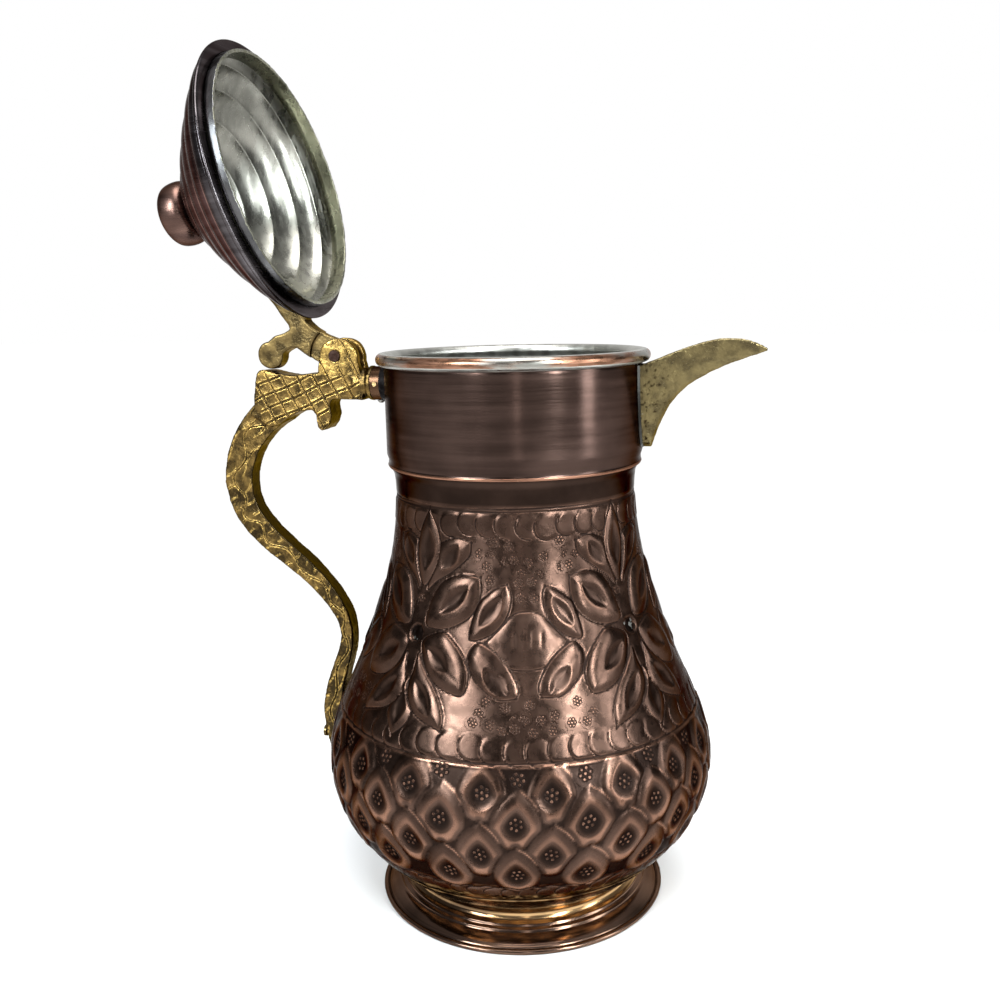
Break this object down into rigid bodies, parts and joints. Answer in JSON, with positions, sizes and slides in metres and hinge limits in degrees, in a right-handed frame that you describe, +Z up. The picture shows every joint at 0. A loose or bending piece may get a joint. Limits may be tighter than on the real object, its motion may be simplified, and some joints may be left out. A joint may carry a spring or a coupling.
{
  "type": "water jug",
  "caption": "Embossed copper water jug with a cast S handle, an open beak spout under the rim and a hinged domed lid with a knob.",
  "frame": {"origin": "on the jug's axis, on the plane that the foot stands on", "axes": "+Z up along the jug's axis, +X from the handle towards the spout, +Y to the back"},
  "size_m": [0.2435, 0.155, 0.3433],
  "materials": {
    "copper_dark": "oxidised, satin",
    "copper_bright": "polished",
    "brass": "cast, worn",
    "brass_dull": "sand cast",
    "tin": "wiped tin",
    "iron": "dark"
  },
  "bodies": {
    "jug": {"body_shell": "copper_dark", "collar": "copper_dark", "rim_wire": "iron", "foot_ring": "copper_bright", "foot_solder": "tin", "spout": "brass_dull", "spout_solder": "tin", "handle": "brass", "handle_ferrule": "copper_bright", "ferrule_pin": "brass", "ferrule_solder": "tin", "handle_saddle": "iron", "handle_burr": "copper_bright", "tail_rivet": "copper_bright", "tail_burr": "copper_bright", "hinge_pin": "iron"},
    "lid": {"lid_arm": "brass", "lid_arm_rivets": "brass", "lid_dome": "copper_dark", "lid_skirt": "tin", "knob": "copper_bright", "knob_burr": "copper_bright"}
  },
  "joints": [
    {"name": "lid_hinge", "type": "hinge", "parent": "jug", "child": "lid", "pos_m": [-0.0724, 0, 0.221], "axis": [0, 1, 0], "range_deg": [0, 104]}
  ]
}
